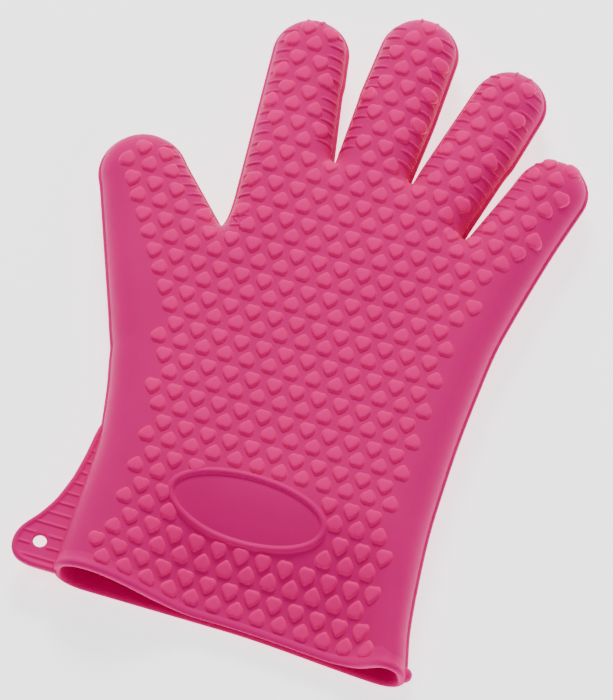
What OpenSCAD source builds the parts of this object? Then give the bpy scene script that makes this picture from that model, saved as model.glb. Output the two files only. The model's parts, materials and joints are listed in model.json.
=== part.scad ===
// Five-finger oven glove moulded in one piece of silicone, lying on its back wall with the palm up.
// +Y runs from the cuff to the fingertips, +Z is up out of the palm, the little finger is on the +X side.
// Every sub-part is a section of the same moulding; each finger bends at the flexible root next to the palm.

/* [Walls] */
// Silicone wall thickness
wall = 1.6; // [1.4:0.1:2.2]
// Rise of the palm-side crown above the parting plane
front_rise = 11; // [9:0.5:13]
// Drop of the back wall below the parting plane
back_drop = 9.5; // [8:0.5:11]
// Radius of the rounded sides of the palm
edge_radius = 13; // [10:0.5:14]
// Squareness of the rounded sides (2 is an ellipse)
edge_power = 2.3; // [2:0.1:3]

/* [Cuff] */
// Half of the overall length, rim to middle fingertip
half_length = 134.6; // [120:0.2:150]
// How far the palm-side wall sinks at the middle of the mouth
mouth_sag = 10.5; // [0:0.5:10.5]
// Length over which the sunken mouth fades into the palm
sag_reach = 54; // [40:1:60]
// Radius of the thickened lip round the mouth
lip_radius = 1.7; // [1.2:0.1:2.2]
// Radius of the knob where the lip meets the little-finger edge
knob_radius = 3; // [2:0.1:3.5]

/* [Edge bead] */
// How far the bead stands out of the parting line
bead_out = 1; // [0.6:0.1:1.4]
// Bead thickness
bead_thickness = 2; // [1.6:0.1:3]

/* [Hang tab] */
// Thickness of the flat web
tab_web = 1.6; // [1.2:0.1:2.4]
// Thickness of the bead round the tab
tab_border_thickness = 3; // [2:0.2:4]
// Width of the bead round the tab
tab_border_width = 2; // [1.2:0.2:3]
// Hang hole radius
hang_hole_radius = 2.6; // [2:0.1:3.5]
// Spacing of the tab ribs
tab_rib_pitch = 5; // [4:0.5:7]

/* [Badge] */
// Half length of the raised oval rim
badge_half_length = 31.6; // [25:0.2:36]
// Half height of the raised oval rim
badge_half_height = 14.3; // [10:0.1:18]
// Width of the oval rim
badge_rim_width = 2.4; // [1.6:0.2:3]

/* [Heart studs] */
// Height of a stud above the wall
stud_rise = 1.2; // [0.8:0.1:1.6]
// Width of a stud
stud_width = 6.2; // [5:0.1:7]
// Spacing of the studs in a row
stud_pitch = 8.8; // [8:0.1:11]
// Distance after which the pair of rows repeats
stud_repeat = 13.8; // [12.5:0.1:16]
// Plain margin on the thumb side of the palm
thumb_side_margin = 18; // [12:1:24]
// Plain margin on the little-finger side of the palm
outer_margin = 13; // [9:1:20]

/* [Finger ribs] */
// Spacing of the short ribs on the sides of the fingers
rib_pitch = 4.6; // [4:0.1:6]
// Height of a rib above the side wall
rib_rise = 0.7; // [0.4:0.1:1]

/* [Hidden] */
parting_z = stud_rise + back_drop;
rim_y = -half_length;
band_length = 15;
root_gap = 0.3;
cavity_overrun = 1.5;
cuff_top = rim_y + 80;
palm_end = 33;
arc_steps = 6;
flat_steps = 8;
finger_steps = 24;
lip_steps = 8;
bury = 0.8;
badge_x = 9;
badge_y = -90.5;
hole_x = -62.8;
hole_y = -124;
tiny = 0.01;

// Palm edges every 20 mm from the rim: thumb side, then little-finger side
edge_step = 20;
thumb_edge = [-53.9, -54.2, -54, -54.6, -58, -62.5, -63, -50, -38, -37.6, -37];
outer_edge = [86, 81.2, 78, 75.8, 75, 74.7, 75.2, 76.2, 78.6, 81, 82];

// Each finger: tip centre x, tip centre y, lean from +Y, tip radius, taper,
// distance from tip centre back to the flexible root, buried length of the root
THUMB = [-74.5, 37.5, -33, 16.3, 0.2, 28, 50];
INDEX = [-29.4, 106.5, -8, 13.9, 0.05, 42, 40];
MIDDLE = [10.2, 119, 1.5, 14.4, 0.025, 51.5, 40];
RING = [49.6, 108.6, 12, 13.7, 0.02, 46.5, 40];
LITTLE = [76.6, 77.4, 16.5, 13.3, 0.05, 33, 40];
FINGERS = [THUMB, INDEX, MIDDLE, RING, LITTLE];

// ---- palm shape ----

function smooth(t) = let (q = min(1, max(0, t))) q * q * (3 - 2 * q);

function knot(v, i) = v[min(len(v) - 1, max(0, i))];

function curve(v, y) =
  let (p = max(0, (y - rim_y) / edge_step), i = min(len(v) - 2, floor(p)), t = p - i)
  let (a = knot(v, i - 1), b = knot(v, i), c = knot(v, i + 1), d = knot(v, i + 2))
  b + 0.5 * t * (c - a + t * (2 * a - 5 * b + 4 * c - d + t * (3 * b - a - 3 * c + d)));

function sag_at(y) = mouth_sag * (1 - smooth((y - rim_y) / sag_reach));

function dip(q) = let (c = cos(90 * min(1, abs(q)))) c * c;

function arch(q) = pow(max(0, 1 - pow(min(1, max(0, q)), edge_power)), 1 / edge_power);

// Positions across a section, from +1 to -1, as [flat part, rounded part]
function across(flats) = concat(
  [for (i = [0:arc_steps - 1]) [1, pow(cos(90 * i / arc_steps), 2 / edge_power)]],
  [for (i = [0:flats]) [1 - 2 * i / flats, 0]],
  [for (i = [arc_steps - 1:-1:0]) [-1, -pow(cos(90 * i / arc_steps), 2 / edge_power)]]
);

// One wall of a flat section: side is +1 for the palm side and -1 for the back
function section(y, lo, hi, rise, round_r, side, sag, flats) =
  let (w = (hi - lo) / 2, mid = (hi + lo) / 2, r = min(round_r, w - tiny))
  [for (p = across(flats))
    let (u = p[0] * (w - r) + p[1] * r)
    [mid + u, y, parting_z + side * rise * arch(abs(p[1])) - (side > 0 ? sag * dip(u / w) : 0)]];

function wall_section(y, inset, side, flats) =
  section(y, curve(thumb_edge, y) + inset, curve(outer_edge, y) - inset,
    (side > 0 ? front_rise : back_drop) - inset, edge_radius - inset, side, sag_at(y), flats);

function loop_of(front, back) = concat(front, [for (i = [len(back) - 2:-1:1]) back[i]]);

// ---- finger shape ----

function lean(f) = f[2];
function at(f, s, u, z) = [
  f[0] + s * sin(lean(f)) + u * cos(lean(f)),
  f[1] + s * cos(lean(f)) - u * sin(lean(f)),
  z];
function along(f, x, y) = (x - f[0]) * sin(lean(f)) + (y - f[1]) * cos(lean(f));
function beside(f, x, y) = (x - f[0]) * cos(lean(f)) - (y - f[1]) * sin(lean(f));

// s is measured from the tip centre, positive towards the fingertip
function half_width(f, s) =
  s <= 0 ? f[3] - s * f[4] : f[3] * sqrt(max(0, 1 - pow(s / f[3], 2)));
function thin(f, s) = s <= 0 ? 1 : sqrt(max(0, 1 - pow(s / f[3], 2)));
function crown_rise(f, s) = (front_rise - 1 * smooth((s + 50) / 50)) * thin(f, s);

// Upper and lower outline of a finger section as [across, up] pairs
function ring(f, s, inset) =
  let (k = f[3] - inset, q = s <= 0 ? 1 : sqrt(max(0, 1 - pow(s / k, 2))))
  let (w = s <= 0 ? half_width(f, s) - inset : k * q)
  let (up = (front_rise - smooth((s + 50) / 50) - inset) * q, down = (back_drop - inset) * q)
  [for (i = [0:finger_steps - 1])
    let (a = 360 * i / finger_steps, c = cos(a), n = sin(a))
    at(f, s, w * sign(c) * pow(abs(c), 2 / edge_power),
      parting_z + (n >= 0 ? up : down) * sign(n) * pow(abs(n), 2 / edge_power))];

function tip_stations(f, from, inset) = concat(
  [from],
  [for (t = [0.25, 0.5, 0.75]) if (from < -8) from * (1 - t)],
  [for (a = [0, 15, 30, 42, 54, 65, 75, 83]) (f[3] - inset) * sin(a)]);

// ---- surface heights, used to seat the studs and the badge ----

function palm_crown(x, y) =
  let (lo = curve(thumb_edge, y), hi = curve(outer_edge, y), w = (hi - lo) / 2, u = x - (lo + hi) / 2)
  abs(u) >= w || y > palm_end + 6 ? 0
    : parting_z + front_rise * arch((abs(u) - w + edge_radius) / edge_radius) - sag_at(y) * dip(u / w);

function finger_crown(f, x, y) =
  let (s = along(f, x, y), u = beside(f, x, y), w = half_width(f, s))
  s < -f[5] - f[6] || abs(u) >= w ? 0 : parting_z + crown_rise(f, s) * arch(abs(u) / w);

function crown(x, y) = max(palm_crown(x, y), web_crown(x, y),
  max([for (f = FINGERS) finger_crown(f, x, y)]));

function web_crown(x, y) = x > -28 && x < 34 && y > 20 && y < 60 ? parting_z + front_rise : 0;

// ---- mesh helpers ----

function flat_list(rows) = [for (r = rows) for (p = r) p];

function strip(a, b, n, m, closed) = [
  for (j = [0:(closed ? m - 1 : m - 2)])
    let (k = (j + 1) % m)
    for (t = [[a + j, a + k, b + j], [a + k, b + k, b + j]]) t];

// Closed solid through a list of section loops
module loft(loops) {
  m = len(loops[0]);
  n = len(loops);
  sides = [for (i = [0:n - 2]) each strip(i * m, (i + 1) * m, n, m, true)];
  ends = [[for (j = [m - 1:-1:0]) j], [for (j = [0:m - 1]) (n - 1) * m + j]];
  polyhedron(points = flat_list(loops), faces = concat(sides, ends), convexity = 8);
}

// Tube with a wall; closed_tip closes the far end of both skins
module tube(outer, inner, closed_tip) {
  m = len(outer[0]);
  n = len(outer);
  q = n * m;
  skin = [for (i = [0:n - 2]) each strip(i * m, (i + 1) * m, n, m, true)];
  lining = [for (i = [0:n - 2]) each
    [for (t = strip(q + i * m, q + (i + 1) * m, n, m, true)) [t[2], t[1], t[0]]]];
  mouth = [for (t = strip(0, q, n, m, true)) [t[2], t[1], t[0]]];
  far = closed_tip
    ? [[for (j = [0:m - 1]) q - m + j], [for (j = [m - 1:-1:0]) 2 * q - m + j]]
    : strip(q - m, 2 * q - m, n, m, true);
  polyhedron(points = concat(flat_list(outer), flat_list(inner)),
    faces = concat(skin, lining, mouth, far), convexity = 8);
}

// Curved sheet with a thickness, from an outer and an inner grid of points
module sheet(outer, inner, flip) {
  m = len(outer[0]);
  n = len(outer);
  q = n * m;
  skin = [for (i = [0:n - 2]) each strip(i * m, (i + 1) * m, n, m, false)];
  lining = [for (i = [0:n - 2]) each
    [for (t = strip(q + i * m, q + (i + 1) * m, n, m, false)) [t[2], t[1], t[0]]]];
  first = [for (t = strip(0, q, n, m, false)) [t[2], t[1], t[0]]];
  last = strip(q - m, 2 * q - m, n, m, false);
  left = [for (i = [0:n - 2])
    for (t = [[i * m, (i + 1) * m, q + i * m], [(i + 1) * m, q + (i + 1) * m, q + i * m]]) t];
  right = [for (i = [0:n - 2]) let (k = m - 1)
    for (t = [[q + i * m + k, (i + 1) * m + k, i * m + k],
      [q + i * m + k, q + (i + 1) * m + k, (i + 1) * m + k]]) t];
  all_faces = concat(skin, lining, first, last, left, right);
  polyhedron(points = concat(flat_list(outer), flat_list(inner)),
    faces = flip ? [for (t = all_faces) [t[2], t[1], t[0]]] : all_faces, convexity = 8);
}

// ---- cuff ----

cuff_stations = [for (i = [0:10]) rim_y + (cuff_top - rim_y) * i / 10];

module cuff_wall(side) {
  sheet([for (y = cuff_stations) wall_section(y, 0, side, flat_steps)],
    [for (y = cuff_stations) wall_section(y, wall, side, flat_steps)], side < 0);
}

module cuff_front() {
  color([0.85, 0.2, 0.46]) cuff_wall(1);
}

module cuff_back() {
  color([0.8, 0.18, 0.43]) cuff_wall(-1);
}

// Rounded lip that follows the mouth, with a knob at the little-finger edge
module cuff_lip() {
  front = wall_section(rim_y, wall / 2, 1, flat_steps);
  back = wall_section(rim_y, wall / 2, -1, flat_steps);
  path = [for (p = loop_of(front, back)) [p[0], p[2]]];
  m = len(path);
  y = rim_y + lip_radius;
  rings = [for (i = [0:m - 1])
    let (b = path[(i + 1) % m] - path[(i + m - 1) % m], l = norm(b), o = [b[1], -b[0]] / l)
    [for (j = [0:lip_steps - 1])
      let (a = 360 * (j + 0.5) / lip_steps, r = lip_radius * cos(a))
      [path[i][0] + o[0] * r, y + lip_radius * sin(a), path[i][1] + o[1] * r]]];
  faces = [for (i = [0:m - 1]) each strip(i * lip_steps, ((i + 1) % m) * lip_steps, m, lip_steps, true)];
  color([0.88, 0.22, 0.5]) polyhedron(points = flat_list(rings), faces = faces, convexity = 8);
}

module corner_knob() {
  color([0.88, 0.22, 0.5])
  translate([curve(outer_edge, rim_y) - 0.6, rim_y + knob_radius, parting_z]) sphere(r = knob_radius);
}

// ---- palm ----

palm_stations = [for (i = [0:10]) cuff_top + (palm_end - cuff_top) * i / 10];

// The whole palm with its finger roots, shrunk by inset, as one solid
module palm_block(inset) {
  round_end = 8 - inset;
  start = inset > 0 ? [cuff_top - 1] : [];
  loft(concat(
    [for (y = concat(start, palm_stations)) loop_of(wall_section(y, inset, 1, 1), wall_section(y, inset, -1, 1))],
    [for (a = [30, 60, 80]) loop_of(end_section(a, round_end, inset, 1), end_section(a, round_end, inset, -1))]));
  web(MIDDLE, -31, 22, -94, -62.5, inset);
  web(LITTLE, -24, 11, -74, -42, inset);
  web(THUMB, -12, 25.5, -76, -39, inset);
  for (f = FINGERS) {
    steps = 6;
    last = -f[5] + (inset > 0 ? cavity_overrun : 0);
    loft([for (i = [0:steps])
      let (s = -f[5] - f[6] + (last + f[5] + f[6]) * i / steps) ring(f, s, inset)]);
  }
}

function end_section(a, r, inset, side) =
  section(palm_end + r * sin(a), curve(thumb_edge, palm_end) + inset + 4 * sin(a),
    curve(outer_edge, palm_end) - inset - 12 * sin(a),
    ((side > 0 ? front_rise : back_drop) - inset) * cos(a), edge_radius - inset, side, 0, 1);

// Flat web between finger roots, in the frame of one finger, with a rounded end at the crotch
module web(f, lo, hi, from, to, inset) {
  round_end = 8 - inset;
  loft(concat([web_loop(f, lo, hi, from, 0, inset)],
    [for (a = [0, 30, 60, 80]) web_loop(f, lo, hi, to + round_end * sin(a), a, inset)]));
}

function web_loop(f, lo, hi, s, a, inset) =
  let (front = section(s, lo + inset, hi - inset, (front_rise - inset) * cos(a), edge_radius - inset, 1, 0, 1))
  let (back = section(s, lo + inset, hi - inset, (back_drop - inset) * cos(a), edge_radius - inset, -1, 0, 1))
  [for (p = loop_of(front, back)) at(f, p[1], p[0], p[2])];

module palm_wall(side) {
  resize([0, 0, 0])
  intersection() {
    difference() {
      palm_block(0);
      palm_block(wall);
    }
    translate([-150, cuff_top, side > 0 ? parting_z : parting_z - 50]) cube([300, 200, 50]);
  }
}

module palm_front() {
  color([0.85, 0.2, 0.46]) palm_wall(1);
}

module palm_back() {
  color([0.8, 0.18, 0.43]) palm_wall(-1);
}

// ---- hearts ----

heart = [[0, -0.5], [0.4, -0.12], [0.5, 0.2], [0.28, 0.5], [0, 0.4], [-0.28, 0.5], [-0.5, 0.2], [-0.4, -0.12]];
first_row = rim_y + 7.1;
first_column = 7.3;
row_gap = 5.9;
rows = 20;
columns = 11;

// Every stud of the palm side as [x, y, turn]: pointed end up in one row, down in the next
studs = [
  for (j = [0:rows - 1])
    for (k = [0, 1])
      for (i = [-columns:columns])
        [first_column + stud_pitch * (i + k / 2), first_row + stud_repeat * j + row_gap * k, k == 0 ? 180 : 0]];

function on_finger(f, p) = abs(beside(f, p[0], p[1])) < half_width(f, along(f, p[0], p[1]))
  && along(f, p[0], p[1]) > -f[5] - 3.3;
function on_tip(f, p) = let (s = along(f, p[0], p[1]), u = beside(f, p[0], p[1]))
  s > -f[5] + band_length + 3.4 && s < f[3] - 5 && abs(u) < half_width(f, s) - 6;
function on_root(f, p) = let (s = along(f, p[0], p[1]), u = beside(f, p[0], p[1]))
  s > -f[5] - f[6] + 12 && s < -f[5] - 3.3 && abs(u) < half_width(f, s) - 8;
function near_finger(p) = max([for (f = FINGERS) on_finger(f, p) ? 1 : 0]) > 0;
function off_badge(p) =
  pow((p[0] - badge_x) / (badge_half_length + 3.4), 2)
  + pow((p[1] - badge_y) / (badge_half_height + 3.4), 2) > 1;
function on_palm(p) = p[0] > curve(thumb_edge, p[1]) + thumb_side_margin
  && p[0] < curve(outer_edge, p[1]) - outer_margin && p[1] > first_row - 1 && p[1] < palm_end - 3;
function on_web(p) = p[0] > -28 && p[0] < 34 && p[1] > palm_end - 4 && p[1] < 56;
function on_hand(p) = off_badge(p) && !near_finger(p)
  && (on_palm(p) || on_web(p) || max([for (f = FINGERS) on_root(f, p) ? 1 : 0]) > 0);

module stud(p) {
  z = crown(p[0], p[1]);
  gx = crown(p[0] + 0.6, p[1]) - crown(p[0] - 0.6, p[1]);
  gy = crown(p[0], p[1] + 0.6) - crown(p[0], p[1] - 0.6);
  translate([p[0], p[1], z])
    rotate([atan(gy / 1.2), -atan(gx / 1.2), 0])
      translate([0, 0, -bury]) rotate(p[2]) linear_extrude(stud_rise + bury) polygon(stud_width * heart);
}

module back_stud(p) {
  translate([p[0], p[1], 0]) rotate(p[2]) linear_extrude(stud_rise + bury) polygon(stud_width * heart);
}

module cuff_hearts() {
  color([0.94, 0.22, 0.51]) for (p = studs) if (p[1] < cuff_top - 4 && on_hand(p)) stud(p);
}

module palm_hearts() {
  color([0.94, 0.22, 0.51]) for (p = studs) if (p[1] > cuff_top - 4 && on_hand(p)) stud(p);
}

module cuff_back_hearts() {
  color([0.94, 0.22, 0.51]) for (p = studs) if (p[1] < cuff_top - 4 && on_palm(p)) back_stud(p);
}

module palm_back_hearts() {
  color([0.94, 0.22, 0.51]) for (p = studs) if (p[1] > cuff_top - 4 && on_palm(p)) back_stud(p);
}

module finger_hearts(f) {
  color([0.94, 0.22, 0.51]) for (p = studs) if (on_tip(f, p)) stud(p);
}

// ---- badge, an oval rim with a half-round top ----

module badge_rim() {
  n = 44;
  half = badge_rim_width / 2;
  profile = [[-half, -bury], [-half, 0.3], [-0.5, 1.1], [0.5, 1.1], [half, 0.3], [half, -bury]];
  m = len(profile);
  rings = [for (i = [0:n - 1])
    let (a = 360 * i / n)
    [for (q = profile)
      let (x = badge_x + (badge_half_length - half + q[0]) * cos(a),
        y = badge_y + (badge_half_height - half + q[0]) * sin(a))
      [x, y, crown(x, y) + q[1]]]];
  faces = [for (i = [0:n - 1]) each
    [for (t = strip(i * m, ((i + 1) % n) * m, n, m, true)) [t[2], t[1], t[0]]]];
  color([0.9, 0.21, 0.48]) polyhedron(points = flat_list(rings), faces = faces, convexity = 6);
}

// ---- edge bead along the parting line ----

module finger_outline(f, from) {
  turn = [for (a = [0:12:180]) a];
  polygon(concat(
    [for (s = [from, from * 0.6, from * 0.3]) let (p = at(f, s, half_width(f, s), 0)) [p[0], p[1]]],
    [for (a = turn) let (p = at(f, f[3] * sin(a), f[3] * cos(a), 0)) [p[0], p[1]]],
    [for (s = [from * 0.3, from * 0.6, from]) let (p = at(f, s, -half_width(f, s), 0)) [p[0], p[1]]]));
}

module hand_outline() {
  ys = [for (i = [0:17]) rim_y + (palm_end + 4 - rim_y) * i / 17];
  polygon(concat(
    [for (y = ys) [curve(outer_edge, y), y]],
    [for (i = [17:-1:0]) [curve(thumb_edge, ys[i]), ys[i]]]));
  web_outline(MIDDLE, -31, 22, -94, -54.5);
  web_outline(LITTLE, -24, 11, -74, -34.2);
  web_outline(THUMB, -12, 25.5, -76, -31.2);
  for (f = FINGERS) finger_outline(f, -f[5] - f[6]);
}

module web_outline(f, lo, hi, from, to) {
  translate([f[0], f[1]]) rotate(-lean(f)) translate([lo, from]) square([hi - lo, to - from]);
}

module beyond_root(f, s) {
  translate([f[0], f[1]]) rotate(-lean(f)) translate([-f[3] - 12, s]) square([2 * f[3] + 24, 120]);
}

module edge_bead() {
  color([0.88, 0.22, 0.5])
  translate([0, 0, parting_z - bead_thickness / 2]) linear_extrude(bead_thickness) difference() {
    offset(r = bead_out, $fn = 16) hand_outline();
    offset(delta = -bury) hand_outline();
    translate([-120, rim_y - 10]) square([240, 10 + 2 * lip_radius]);
    for (f = FINGERS) beyond_root(f, -f[5]);
  }
}

module finger_bead(f) {
  from = -f[5] + band_length;
  color([0.88, 0.22, 0.5])
  translate([0, 0, parting_z - bead_thickness / 2]) linear_extrude(bead_thickness) intersection() {
    difference() {
      offset(r = bead_out, $fn = 16) finger_outline(f, from - 6);
      offset(delta = -bury) finger_outline(f, from - 6);
    }
    beyond_root(f, from);
  }
}

// ---- hang tab in the parting plane ----

module tab_outline() {
  offset(r = 4, $fn = 32) offset(delta = -4) polygon([
    [-46, -60], [-55, -63], [-57, -74], [-58.5, -90], [-62, -104], [-66, -112],
    [-71, -119.5], [-72.6, -124], [-72, -130], [-69, -133], [-64, -134], [-46, -134]]);
}

module outside_cuff(gap) {
  translate([-120, -140]) square([120 - 53.4 - gap, 80]);
}

module hang_tab() {
  color([0.84, 0.2, 0.46])
  translate([0, 0, parting_z - tab_web / 2]) linear_extrude(tab_web) difference() {
    intersection() {
      offset(delta = -0.6) tab_outline();
      outside_cuff(0);
    }
    translate([hole_x, hole_y]) circle(r = hang_hole_radius);
  }
}

module tab_border() {
  color([0.88, 0.22, 0.5])
  translate([0, 0, parting_z - tab_border_thickness / 2]) linear_extrude(tab_border_thickness) intersection() {
    difference() {
      tab_outline();
      offset(delta = -tab_border_width) tab_outline();
    }
    outside_cuff(0);
  }
}

module tab_ribs() {
  color([0.88, 0.22, 0.5])
  translate([0, 0, parting_z - tab_web / 2 - 0.4]) linear_extrude(tab_web + 0.8) difference() {
    intersection() {
      for (i = [0:7]) translate([-80, -128.4 + tab_rib_pitch * i]) square([30, 0.9]);
      offset(delta = -tab_border_width - 0.2) tab_outline();
      outside_cuff(1.4);
    }
    translate([hole_x, hole_y]) circle(r = hang_hole_radius + 1.4, $fn = 32);
  }
}

// ---- fingers ----

module finger_root(f) {
  ends = [-f[5], -f[5] + band_length - root_gap];
  color([0.83, 0.19, 0.45])
  tube([for (s = ends) ring(f, s, 0)], [for (s = ends) ring(f, s, wall)], false);
}

module finger_tip(f) {
  from = -f[5] + band_length;
  color([0.85, 0.2, 0.46])
  tube([for (s = tip_stations(f, from, 0)) ring(f, s, 0)],
    [for (s = tip_stations(f, from, wall)) ring(f, s, wall)], true);
}

// Short ribs across the side walls, from the bead up towards the crown
module finger_ribs(f, sides) {
  from = -f[5] + band_length + 2.5;
  color([0.88, 0.22, 0.5])
  for (s = [from:rib_pitch:f[3] * 0.45])
    for (side = sides)
      translate(at(f, s, 0, 0)) rotate([90, 0, -lean(f)])
        linear_extrude(1.1) polygon(concat(
          [for (a = [14, 26, 38, 52]) rib_point(f, s, side, a, rib_rise)],
          [for (a = [48, 34, 22, 14]) rib_point(f, s, side, a, -bury)]));
}

function rib_point(f, s, side, a, out) =
  [side * (half_width(f, s) * pow(cos(a), 2 / edge_power) + out * cos(a)),
    parting_z + crown_rise(f, s) * pow(sin(a), 2 / edge_power) + out * sin(a)];

module thumb_root() { finger_root(THUMB); }
module index_root() { finger_root(INDEX); }
module middle_root() { finger_root(MIDDLE); }
module ring_root() { finger_root(RING); }
module little_root() { finger_root(LITTLE); }
module thumb_tip() { finger_tip(THUMB); }
module index_tip() { finger_tip(INDEX); }
module middle_tip() { finger_tip(MIDDLE); }
module ring_tip() { finger_tip(RING); }
module little_tip() { finger_tip(LITTLE); }
module thumb_hearts() { finger_hearts(THUMB); }
module index_hearts() { finger_hearts(INDEX); }
module middle_hearts() { finger_hearts(MIDDLE); }
module ring_hearts() { finger_hearts(RING); }
module little_hearts() { finger_hearts(LITTLE); }
module thumb_ribs() { finger_ribs(THUMB, [1]); }
module index_ribs() { finger_ribs(INDEX, [-1, 1]); }
module middle_ribs() { finger_ribs(MIDDLE, [-1, 1]); }
module ring_ribs() { finger_ribs(RING, [-1, 1]); }
module little_ribs() { finger_ribs(LITTLE, [-1]); }
module thumb_bead() { finger_bead(THUMB); }
module index_bead() { finger_bead(INDEX); }
module middle_bead() { finger_bead(MIDDLE); }
module ring_bead() { finger_bead(RING); }
module little_bead() { finger_bead(LITTLE); }

cuff_front();
cuff_back();
palm_front();
palm_back();
cuff_lip();
edge_bead();
corner_knob();
hang_tab();
tab_border();
tab_ribs();
badge_rim();
cuff_hearts();
palm_hearts();
cuff_back_hearts();
palm_back_hearts();
thumb_root();
thumb_tip();
thumb_hearts();
thumb_ribs();
thumb_bead();
index_root();
index_tip();
index_hearts();
index_ribs();
index_bead();
middle_root();
middle_tip();
middle_hearts();
middle_ribs();
middle_bead();
ring_root();
ring_tip();
ring_hearts();
ring_ribs();
ring_bead();
little_root();
little_tip();
little_hearts();
little_ribs();
little_bead();
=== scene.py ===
import math

import bpy
import numpy as np
import openvdb
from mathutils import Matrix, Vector
from mathutils.kdtree import KDTree
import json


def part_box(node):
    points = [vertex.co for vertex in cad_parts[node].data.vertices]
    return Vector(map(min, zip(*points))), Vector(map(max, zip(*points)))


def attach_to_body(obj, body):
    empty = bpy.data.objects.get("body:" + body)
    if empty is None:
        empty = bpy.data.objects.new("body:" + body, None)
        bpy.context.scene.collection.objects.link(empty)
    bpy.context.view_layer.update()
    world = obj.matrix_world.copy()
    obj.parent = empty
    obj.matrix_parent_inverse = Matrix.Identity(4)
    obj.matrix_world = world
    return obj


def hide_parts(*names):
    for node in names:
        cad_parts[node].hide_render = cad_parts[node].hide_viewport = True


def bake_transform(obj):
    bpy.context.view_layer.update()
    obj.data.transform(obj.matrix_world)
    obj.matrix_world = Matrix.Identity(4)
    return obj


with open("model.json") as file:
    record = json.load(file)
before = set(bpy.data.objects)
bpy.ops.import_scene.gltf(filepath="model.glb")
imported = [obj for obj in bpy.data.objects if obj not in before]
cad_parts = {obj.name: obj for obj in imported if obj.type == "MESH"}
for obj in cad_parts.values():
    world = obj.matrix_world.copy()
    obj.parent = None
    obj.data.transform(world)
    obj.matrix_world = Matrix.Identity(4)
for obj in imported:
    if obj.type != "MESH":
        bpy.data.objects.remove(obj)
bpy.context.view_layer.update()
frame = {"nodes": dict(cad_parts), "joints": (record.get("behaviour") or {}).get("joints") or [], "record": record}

# Lengths are in millimetres until make() and the camera turn them into metres
MM = 0.001

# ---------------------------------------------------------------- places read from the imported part


def box_mm(node):
    low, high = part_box(node)
    return np.array(low) / MM, np.array(high) / MM


def vertices_mm(node):
    mesh = frame["nodes"][node].data
    co = np.zeros(len(mesh.vertices) * 3, np.float32)
    mesh.vertices.foreach_get("co", co)
    return co.reshape(-1, 3).astype(float) / MM


RIM_Y = box_mm("cuff_front")[0][1]  # rim of the mouth
CUFF_TOP = box_mm("cuff_front")[1][1]  # where the cuff becomes the palm
PART_Z = float(np.mean([box_mm("hang_tab")[0][2], box_mm("hang_tab")[1][2]]))  # parting plane
FRONT_H = box_mm("palm_front")[1][2] - PART_Z  # height of the palm side above the parting plane
BACK_H = PART_Z - box_mm("palm_back")[0][2]  # depth of the back below it

BADGE = [np.mean([box_mm("badge_rim")[0][k], box_mm("badge_rim")[1][k]]) for k in (0, 1)]
BADGE_HALF = [(box_mm("badge_rim")[1][k] - box_mm("badge_rim")[0][k]) / 2 for k in (0, 1)]

WALL = 1.6  # thickness of the silicone
EDGE_R = 13.0  # how far in from the outline the rounded edge reaches
EDGE_N = 2.3  # how square that edge is, 2 being round
CROWN_REACH = 9.0  # how far in the slow unevenness takes full effect
PALM_END = 37.0  # where the plain palm ends and the fingers take over
BEND_LENGTH = 15.0  # length of a finger's flexible root

# The palm side sinks towards the back at the mouth. Places across are fractions of the half width.
MOUTH_SAG = 14.4
SAG_REACH = 58.0
SAG_CENTRE, SAG_FLOOR, SAG_SLOPE, SAG_CORNER = 0.17, 0.36, 0.62, 0.28

# Palm edges every EDGE_STEP from the rim
EDGE_STEP = 20.0
THUMB_EDGE = [-53.9, -54.2, -54, -54.6, -58, -62.5, -63, -50, -38, -37.6, -37]
OUTER_EDGE = [86, 81.2, 78, 75.8, 75, 74.7, 75.2, 76.2, 78.6, 81, 82]


class Finger:
    """Axis, widths and root of one finger, measured on its packed tip and its joint."""

    SAME_STATION = 0.02  # vertices this close along the finger are one cross-section
    SHORTEST_TIP = 8  # less than the radius of any fingertip
    FOOT = 45  # how far a finger's straight sides run on below its root

    def __init__(self, name):
        self.name = name
        joint = next(j for j in frame["joints"] if j["child"] == name)
        self.lean = math.atan2(-joint["axis"][1], joint["axis"][0])
        self.ahead = np.array([math.sin(self.lean), math.cos(self.lean)])
        self.side = np.array([math.cos(self.lean), -math.sin(self.lean)])
        pivot = np.array(joint["pos_m"][:2]) / MM
        v = vertices_mm(name + "_tip")[:, :2] - pivot
        s, u = v @ self.ahead, np.abs(v @ self.side)
        stations = np.unique(np.round(s, 2))
        widths = np.array([u[np.abs(s - p) < self.SAME_STATION].max() for p in stations])
        knee = self._knee(stations, widths)
        self.r = widths[knee]
        self.taper = (widths[0] - self.r) / (stations[knee] - stations[0])
        self.tip = pivot + stations[knee] * self.ahead
        self.root = -(stations[knee] + BEND_LENGTH / 2)

    def _knee(self, stations, widths):
        """Index where the round tip starts: its radius there is the distance left to the end."""
        left = stations[-1] - stations
        return np.argmin(np.where(left < self.SHORTEST_TIP, np.inf, np.abs(left - widths)))

    def local(self, x, y):
        """Place along the finger from its tip's centre, and across it."""
        dx, dy = x - self.tip[0], y - self.tip[1]
        return dx * self.ahead[0] + dy * self.ahead[1], dx * self.side[0] + dy * self.side[1]

    def world(self, s, u):
        return (self.tip[0] + s * self.ahead[0] + u * self.side[0],
                self.tip[1] + s * self.ahead[1] + u * self.side[1])

    def half_width(self, s):
        round_tip = np.sqrt(np.maximum(0, self.r ** 2 - s ** 2))
        return np.where(s <= 0, self.r - s * self.taper, round_tip)

    def beyond(self, s, u):
        """How far a point beside the finger's straight stretch is from its side."""
        return np.abs(u) - self.half_width(np.minimum(s, 0))

    def inside(self, x, y):
        s, u = self.local(x, y)
        sides = (self.r - s * self.taper - np.abs(u)) * math.cos(math.atan(self.taper))
        foot = s - self.root + self.FOOT
        return np.where(s > 0, self.r - np.hypot(s, u), np.minimum(sides, foot))


FINGERS = {n: Finger(n) for n in ("thumb", "index", "middle", "ring", "little")}

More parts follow.
